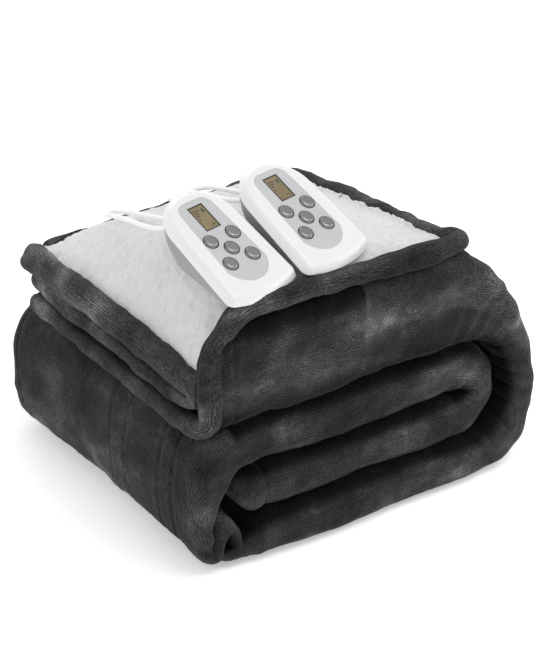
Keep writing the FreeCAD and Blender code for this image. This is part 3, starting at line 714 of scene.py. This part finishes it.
def make_band(name, stations, around=44, relief=1.0, seam=None, seed=0, painted_highlight=0.4):
    """A padded band along a path, with both ends rounded. relief scales its unevenness, seam is (place round
    the section, depth), and the last argument is the strength of the painted highlight along its top."""
    curves = [[s[0] for s in stations], [s[1] for s in stations], [(s[2], s[3]) for s in stations]]
    curves = [smooth_path(curve, POINTS_PER_STATION) for curve in curves]
    length, even = even_distances(curves[0], BAND_STEP)
    middle, facing, sizes = (resample(curve, length, even) for curve in curves)
    count = len(even)
    tangent = np.gradient(middle, axis=0)
    tangent /= np.linalg.norm(tangent, axis=1, keepdims=True)
    facing -= tangent * np.sum(facing * tangent, axis=1, keepdims=True)
    facing /= np.linalg.norm(facing, axis=1, keepdims=True)
    across = np.cross(tangent, facing)
    points = np.zeros((count, around, 3))
    lay = np.zeros((count, around, 3))
    angles = np.arange(around) / around * 2 * math.pi
    unit_across = np.sign(np.cos(angles)) * np.abs(np.cos(angles)) ** FULLER
    unit_out = np.sign(np.sin(angles)) * np.abs(np.sin(angles)) ** FULLER
    for i in range(count):
        wide, thick = sizes[i] / 2
        end = min(even[i], even[-1] - even[i]) / max(thick, wide * 0.6)
        squeeze = math.sqrt(max(0.004, 1 - (1 - min(1.0, end)) ** 2))
        a = unit_across * wide * squeeze
        b = unit_out * thick * squeeze
        points[i] = middle[i] + across[i] * a[:, None] + facing[i] * b[:, None]
        lay[i, :, 0] = even[i]
        lay[i, :, 1] = angles * (wide + thick) / 2
        lay[i, :, 2] = seed * 37.0
    normals = outward_normals(points, middle[:, None, :])
    flat = points.reshape(-1, 3)
    shape = points.shape[:2]
    out = (1.3 * noise(flat, 34, seed) + 0.8 * noise(flat, 16, seed + 1)
           + 0.4 * noise(flat, 7, seed + 2)).reshape(shape) * relief
    if seam is not None:
        place, deep = seam
        out -= deep * bump(np.abs(((angles - place + math.pi) % (2 * math.pi)) - math.pi), 0, 0.16)[None, :]
    shaped = points + normals * out[:, :, None]
    # painted shade on the side turned away from the way the band faces, and painted highlights on the side that
    # faces out and on surfaces that face up, in noisy patches
    patches = np.clip(0.3 + 0.7 * noise(flat, 26, seed + 1).reshape(shape), 0, 1)
    outward = np.sin(angles)[None, :]
    shade = 0.85 * step(-outward, 0.05, 0.8) - 0.6 * patches * step(outward, 0.2, 0.9)
    shade -= painted_highlight * (0.5 + 0.5 * patches) * step(normals[:, :, 2], 0.25, 0.85)
    mesh = grid_mesh(name, shaped * MM, around=True, capped=True, lay=lay * MM, shade=shade)
    band = new_object(name, mesh)
    finish(band, "hem")
    return band


# Stations of the bands: (middle, the way the thin side faces, width, thickness).
# The hem goes from the back left corner along the back, down the right edge, along the front and round to the
# left, and then back along the left side.
HEM = [
    ((-172, 158, 202), (0, 0.5, 1), 15, 11),
    ((-140, 161, 205), (0, 0.5, 1), 15, 11),
    ((0, 161, 204), (0, 0.5, 1), 15, 11),
    ((104, 161, 203), (0, 0.5, 1), 16, 12),
    ((126, 157, 201), (0.2, 0.3, 1), 20, 15),
    ((127, 138, 204), (0.5, 0, 1), 27, 19),
    ((123, 100, 213), (0.5, 0, 1), 28, 20),
    ((117, 45, 225), (0.5, 0, 1), 28, 20),
    ((111, -20, 238), (0.5, 0, 1), 28, 20),
    ((104, -85, 251), (0.5, 0, 1), 27, 20),
    ((99, -128, 260), (0.5, 0, 1), 25, 19),
    ((103, -148, 265), (0.9, -0.6, 0.8), 22, 18),
    ((100, -161, 268), (0.2, -1, 0.5), 20, 19),
    ((78, -162, 267), (0, -1, 0.4), 21, 19),
    ((30, -161, 268), (0, -1, 0.3), 21, 18),
    ((-60, -160, 271), (0, -1, 0.3), 21, 18),
    ((-125, -159, 273), (0, -1, 0.25), 21, 18),
    ((-150, -159, 269), (0, -1, 0.2), 22, 18),
    ((-167, -159, 256), (-0.2, -1, 0.1), 23, 18),
    ((-179, -158, 236), (-0.3, -1, 0), 24, 18),
    ((-183, -158, 208), (-0.3, -1, 0), 25, 18),
    ((-182, -158, 182), (-0.3, -1, 0), 25, 19),
    ((-183, -157, 165), (-0.4, -1, 0), 24, 20),
    ((-188, -149, 156), (-0.8, -0.7, 0), 22, 21),
    ((-191, -132, 154), (-1, -0.2, 0), 21, 21),
    ((-191, -100, 154), (-1, 0, 0), 21, 21),
    ((-191, 0, 154), (-1, 0, 0), 21, 21),
    ((-190, 100, 153), (-1, 0, 0), 21, 21),
    ((-187, 158, 150), (-1, 0, 0), 20, 20),
]
# The flap's own edge along the left side, which turns down at the front and runs back beneath itself
FLAP = [
    ((-186, 170, 197), (-1, 0, 0.8), 30, 27),
    ((-187, 140, 197), (-1, 0, 0.7), 30, 26),
    ((-188, 60, 200), (-1, 0, 0.6), 29, 24),
    ((-188, -20, 201), (-1, 0, 0.6), 28, 24),
    ((-188, -90, 200), (-1, 0, 0.5), 28, 23),
    ((-188, -124, 197), (-1, 0, 0.3), 27, 22),
    ((-187, -142, 187), (-1, 0, 0), 22, 21),
    ((-188, -130, 177), (-1, 0, 0), 17, 20),
    ((-189, -100, 175), (-1, 0, 0), 17, 20),
    ((-189, 0, 177), (-1, 0, 0), 18, 20),
    ((-188, 100, 176), (-1, 0, 0), 19, 20),
    ((-184, 160, 173), (-1, 0, 0), 19, 19),
]
# The inner hem, doubled over where the lowest layer turns up at the front left
TUCK = [
    ((-184, -140, 3), (-1, 0, 0.1), 64, 19),
    ((-183, -140, 20), (-1, 0, 0.3), 65, 20),
    ((-179, -140, 36), (-0.9, 0, 0.7), 66, 18),
    ((-170, -139, 45), (0, 0, 1), 65, 14),
    ((-162, -139, 38), (1, 0, 0.6), 64, 15),
    ((-159, -139, 22), (1, 0, 0), 64, 15),
    ((-159, -139, 5), (1, 0, 0), 62, 14),
]


def make_hems():
    """The hem round the fleece, the flap's edge, and the tuck."""
    hem = make_band("hem_band", HEM, seam=(0.0, 1.2), seed=1)
    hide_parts("hem_front", "hem_back", "hem_corner", "hem_right", "flap_edge_lower")
    flap = make_band("flap_band", FLAP, seed=3, painted_highlight=1.0)
    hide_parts("flap_edge_middle", "flap_edge_upper")
    tuck = make_band("inner_tuck", TUCK, around=90, relief=0.6, seed=2)
    return [hem, flap, tuck]


# ---------------------------------------------------------------- the sherpa on top

SHERPA_FRONT = -153.0
SHERPA_BACK = 156.0
SHERPA_THICKNESS = 6.0


def make_sherpa():
    """The fleece, from the flap's left edge over the pile to the hems on the other three sides."""
    columns = int((SHERPA_RIGHT[-1][1] - SHERPA_LEFT) / SHERPA_STEP)
    rows = int((SHERPA_BACK - SHERPA_FRONT) / SHERPA_STEP)
    u = np.linspace(0, 1, columns)
    v = np.linspace(0, 1, rows)
    y = np.repeat((SHERPA_FRONT + (SHERPA_BACK - SHERPA_FRONT) * v)[:, None], columns, axis=1)
    right = read(SHERPA_RIGHT, y)
    x = SHERPA_LEFT + (right - SHERPA_LEFT) * u[None, :]
    z = sherpa_height(x, y)
    points = np.stack([x, y, z], axis=2)
    flat = points.reshape(-1, 3)
    shape = points.shape[:2]
    curls = (0.9 * noise(flat, 9, 0) + 0.8 * noise(flat, 5, 1) + 0.5 * noise(flat, 3.2, 2)).reshape(shape)
    swell = (1.2 * noise(flat, 60, 3) + 0.8 * noise(flat, 28, 4)).reshape(shape)
    normals = normals_of(points)
    if normals[:, :, 2].mean() < 0:
        normals = -normals
    inner = np.clip(np.minimum(u, 1 - u)[None, :] * 30, 0, 1)
    shaped = points + normals * (curls * 0.6 + swell * inner - 1.2)[:, :, None]
    # the pile of the fleece creeps over the hems on the right and at the back
    ragged = np.clip((2.6 * noise(flat, 11, 5) + 2.4 * noise(flat, 4, 2)).reshape(shape), -3, 6)
    shaped[:, :, 0] += ragged * step(x, right - 8, right)
    shaped[:, :, 1] += ragged * step(y, 148, 156)
    shaped[:, :, 2] += 3.0 * step(x, right - 7, right) * step(-y, -150, -100) * step(y, -140, -110)
    mesh = grid_mesh("sherpa_top", shaped * MM)
    sherpa = new_object("sherpa_top", mesh)
    finish(sherpa, "sherpa")
    thicken = sherpa.modifiers.new("thickness", "SOLIDIFY")
    thicken.thickness = SHERPA_THICKNESS * MM
    thicken.offset = -1.0
    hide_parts("sherpa_panel")
    return sherpa


# ---------------------------------------------------------------- leads

LEADS = {
    "controller_left": [
        (-150, -43, 305.5), (-154, -24, 298), (-154, -2, 291.5), (-151.5, 20, 285.5), (-150, 40, 280),
        (-151, 58, 275.5), (-151, 72, 271), (-145, 82, 266.5), (-137, 79, 267.5), (-134, 66, 272),
        (-132.5, 50, 276.5), (-130, 32, 281), (-126, 14, 284.5), (-121, -4, 287), (-113, -17, 289),
        (-103, -14, 289), (-96, 2, 288), (-89, 24, 282.5), (-81, 50, 275.5), (-70, 80, 261),
        (-56, 108, 246), (-38, 134, 229.5), (-18, 154, 219.5), (-2, 169.5, 208.5), (8, 181.5, 188),
        (11, 184, 150), (9, 184, 112), (4, 184, 75), (0, 186, 42), (-4, 192, 16),
        (-14, 203, 4.5),
    ],
    "controller_right": [
        (-59.5, -36, 306), (-60.5, -18, 298), (-60, 1, 291), (-58.5, 20, 285.5), (-57.5, 38, 280.5),
        (-58, 55, 275), (-57, 69, 269.5), (-50, 79, 264.5), (-42, 77, 266), (-39, 65, 272),
        (-39, 50, 277.5), (-37, 34, 281.5), (-33, 16, 285), (-28, -2, 287.5), (-21, -16, 289),
        (-11, -15, 289), (-2, -2, 288.5), (12, 22, 283.5), (28, 48, 275), (46, 78, 261.5),
        (68, 111, 244), (88, 141, 226), (100, 161, 215.5), (106, 175, 203), (108, 182, 178),
        (110, 184, 143), (114, 183.5, 108), (118, 184, 74), (122, 186, 42), (124, 192, 16),
        (118, 203, 4.5),
    ],
}
EXITS = {"controller_left": (-148.07, -58.36, 312.33), "controller_right": (-59.17, -50.06, 313.83)}
COILS = {"controller_left": (-52, 222), "controller_right": (78, 222)}
LEAD_DIAMETER = 5.0
COIL_RADII = (34.5, 29.5, 24.5)
TURN_POINTS = 14
COIL_POINTS = 75
COIL_HEIGHTS = (2.9, 7.9)
# From the coil over its own turns to the plug, measured from the coil's middle
TAILS = {
    "controller_left": [(-15, 30, 10.3), (-22, 22.5, 12.9), (-27.5, 13, 12.9), (-32.5, 5, 11), (-37, 0, 9),
                        (-40.5, -3, 7.5)],
    "controller_right": [(-14, 29, 10.5), (-20, 20.5, 12.9), (-24, 11, 12.9), (-28.5, 2, 12.5),
                         (-33, -4.5, 10.5), (-37.5, -8.5, 8.5), (-41, -9.9, 7.5)],
}


def coil_points(centre):
    """Three turns inwards on the surface, and then outwards on top of them to where the tail leaves."""
    turns = [(radius, COIL_HEIGHTS[0]) for radius in COIL_RADII]
    turns += [(radius, COIL_HEIGHTS[1]) for radius in reversed(COIL_RADII)]
    points = []
    for n in range(1, COIL_POINTS + 1):
        turn = n / TURN_POINTS
        index = int(turn)
        following = min(index + 1, len(turns) - 1)
        share = step(turn - index, 0.7, 1.0)
        radius, height = (a + (b - a) * share for a, b in zip(turns[index], turns[following]))
        angle = 2 * math.pi * (n - 1) / TURN_POINTS
        points.append((centre[0] + radius * math.cos(angle), centre[1] + radius * math.sin(angle), height))
    return points


def make_lead(body):
    """A controller's mains lead: over the fleece, down behind the pile, round its coil and into its plug."""
    middle = Vector((*COILS[body], 0.0))
    points = [Vector(p) for p in [EXITS[body]] + LEADS[body] + coil_points(COILS[body])]
    points += [middle + Vector(p) for p in TAILS[body]]
    curve = bpy.data.curves.new(body + "_mains_lead", "CURVE")
    curve.dimensions = "3D"
    spline = curve.splines.new("NURBS")
    spline.points.add(len(points) - 1)
    for place, point in zip(spline.points, points):
        place.co = (*(point * MM), 1.0)
        place.radius = LEAD_DIAMETER / 2 * MM
    spline.order_u = 3
    spline.use_endpoint_u = True
    curve.bevel_depth = 1.0
    curve.bevel_resolution = 5
    curve.resolution_u = 8
    curve.use_fill_caps = True
    lead = bpy.data.objects.new(body + "_mains_lead", curve)
    bpy.context.scene.collection.objects.link(lead)
    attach(lead, body)
    lead.data.materials.append(MATERIALS["lead_vinyl"])
    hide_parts(body + "_lead", body + "_lead_coil")


# ---------------------------------------------------------------- marks on the controllers' displays

CENTRES = {"controller_left": (-130.4, -115.1, 312.5), "controller_right": (-41.5, -106.8, 314.0)}
FACE_YAW = math.radians(11.5)
FACE_PITCH = math.radians(27.0)
# Rectangles on the face, in mm from the face's own origin: (x low, y low, x high, y high)
BORDER = (
    (-9.1, 51.4, 9.1, 52.6), (-9.1, 23.4, 9.1, 24.6), (-9.1, 24.6, -7.9, 51.4), (7.9, 24.6, 9.1, 51.4),
)
MARKS = (
    (-6.2, 46.4, 1.2, 47.5), (-6.2, 43.6, -0.6, 44.7), (-6.2, 40.8, -2.6, 41.9), (3.6, 43.0, 5.8, 47.5),
    (-5.6, 35.0, -4.8, 39.0), (1.6, 27.4, 3.0, 28.8), (4.0, 27.4, 5.4, 28.8),
)


def face_boxes(name, body, boxes, low, high, slot):
    """Thin raised boxes on a controller's face, between two heights above it in mm."""
    along_x = np.array([math.cos(FACE_YAW), math.sin(FACE_YAW), 0.0])
    level = np.array([-math.sin(FACE_YAW), math.cos(FACE_YAW), 0.0])
    along_y = level * math.cos(FACE_PITCH) + np.array([0.0, 0.0, math.sin(FACE_PITCH)])
    out = np.cross(along_x, along_y)
    vertices, faces = [], []
    for x0, y0, x1, y1 in boxes:
        first = len(vertices)
        for height in (low, high):
            for x, y in ((x0, y0), (x1, y0), (x1, y1), (x0, y1)):
                vertices.append((np.array(CENTRES[body]) + along_x * x + along_y * y + out * height) * MM)
        faces.append([first + k for k in (3, 2, 1, 0)])
        faces.append([first + k for k in (4, 5, 6, 7)])
        faces += [[first + k, first + (k + 1) % 4, first + (k + 1) % 4 + 4, first + k + 4] for k in range(4)]
    mesh = bpy.data.meshes.new(name)
    mesh.from_pydata([tuple(v) for v in vertices], [], faces)
    mesh.update()
    finish(new_object(name, mesh, body), slot)


def make_display_marks():
    """The dark border and the plain bars of each display."""
    for body in CONTROLLERS:
        face_boxes(body + "_display_border", body, BORDER, -0.5, -0.15, "module_plastic")
        face_boxes(body + "_display_marks", body, MARKS, -0.45, -0.3, "module_plastic")


# ---------------------------------------------------------------- floor, light and camera

def make_floor():
    """A white floor that curves up into a wall behind the part."""
    mesh = bpy.data.meshes.new("floor")
    reach, rise, bend = 6.0, 4.0, 8
    rows = [(-reach, 0.0)]
    for k in range(bend + 1):
        angle = k / bend * math.pi / 2
        rows.append((3.0 + math.sin(angle), 1.0 - math.cos(angle)))
    rows.append((4.0, rise))
    vertices = [(x, y, z) for y, z in rows for x in (-reach, reach)]
    faces = [(2 * i, 2 * i + 1, 2 * i + 3, 2 * i + 2) for i in range(len(rows) - 1)]
    mesh.from_pydata(vertices, [], faces)
    mesh.shade_smooth()
    floor = bpy.data.objects.new("floor", mesh)
    bpy.context.scene.collection.objects.link(floor)
    s = Shader("floor")
    place = s.add("ShaderNodeTexCoord").outputs["Object"]
    s.set(Base_Color=s.ramp(s.noise(place, 3.0), [(0.3, grey(0.93)), (0.7, grey(0.95))]), Roughness=0.9)
    s.surface.inputs["Specular IOR Level"].default_value = 0.1
    s.surface.inputs["Emission Color"].default_value = (1.0, 1.0, 1.0, 1.0)
    s.surface.inputs["Emission Strength"].default_value = 0.32
    floor.data.materials.append(s.material)


def make_light(name, place, aim, size, power, colour=(1, 1, 1)):
    data = bpy.data.lights.new(name, "AREA")
    data.shape = "DISK"
    data.size = size
    data.energy = power
    data.color = colour
    lamp = bpy.data.objects.new(name, data)
    lamp.location = place
    lamp.rotation_euler = (Vector(aim) - Vector(place)).to_track_quat("-Z", "Y").to_euler()
    bpy.context.scene.collection.objects.link(lamp)


def light_scene():
    world = bpy.data.worlds.new("studio")
    world.use_nodes = True
    background = world.node_tree.nodes["Background"]
    background.inputs["Color"].default_value = (1.0, 1.0, 1.0, 1.0)
    background.inputs["Strength"].default_value = 0.76
    bpy.context.scene.world = world
    aim = (0.0, 0.0, 0.15)
    make_light("key", (0.5, -0.9, 2.3), aim, 1.5, 19.0)
    make_light("right", (1.9, -0.9, 1.0), aim, 1.2, 7.0)
    make_light("left", (-1.9, 0.3, 0.9), aim, 1.2, 4.0)
    make_light("back", (0.4, 1.8, 1.6), aim, 1.4, 6.0)
    view = bpy.context.scene.view_settings
    view.view_transform = "Standard"
    view.look = "None"
    view.exposure = 0.0


def make_camera():
    azimuth = math.radians(34.5)
    elevation = math.radians(30.0)
    distance = 2.4
    target = Vector((-0.0145, -0.009, 0.136))
    looking = Vector((math.sin(azimuth) * math.cos(elevation), math.cos(azimuth) * math.cos(elevation),
                      -math.sin(elevation)))
    data = bpy.data.cameras.new("camera")
    data.sensor_width = 36.0
    data.lens = 130.9
    data.clip_end = 50.0
    camera = bpy.data.objects.new("camera", data)
    camera.location = target - looking * distance
    camera.rotation_euler = looking.to_track_quat("-Z", "Y").to_euler()
    bpy.context.scene.collection.objects.link(camera)
    bpy.context.scene.camera = camera


make_camera()
light_scene()
make_floor()
dress_cad_nodes()
roll = make_roll()
for band in make_hems():
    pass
sherpa = make_sherpa()
make_display_marks()
for body in CONTROLLERS:
    make_lead(body)
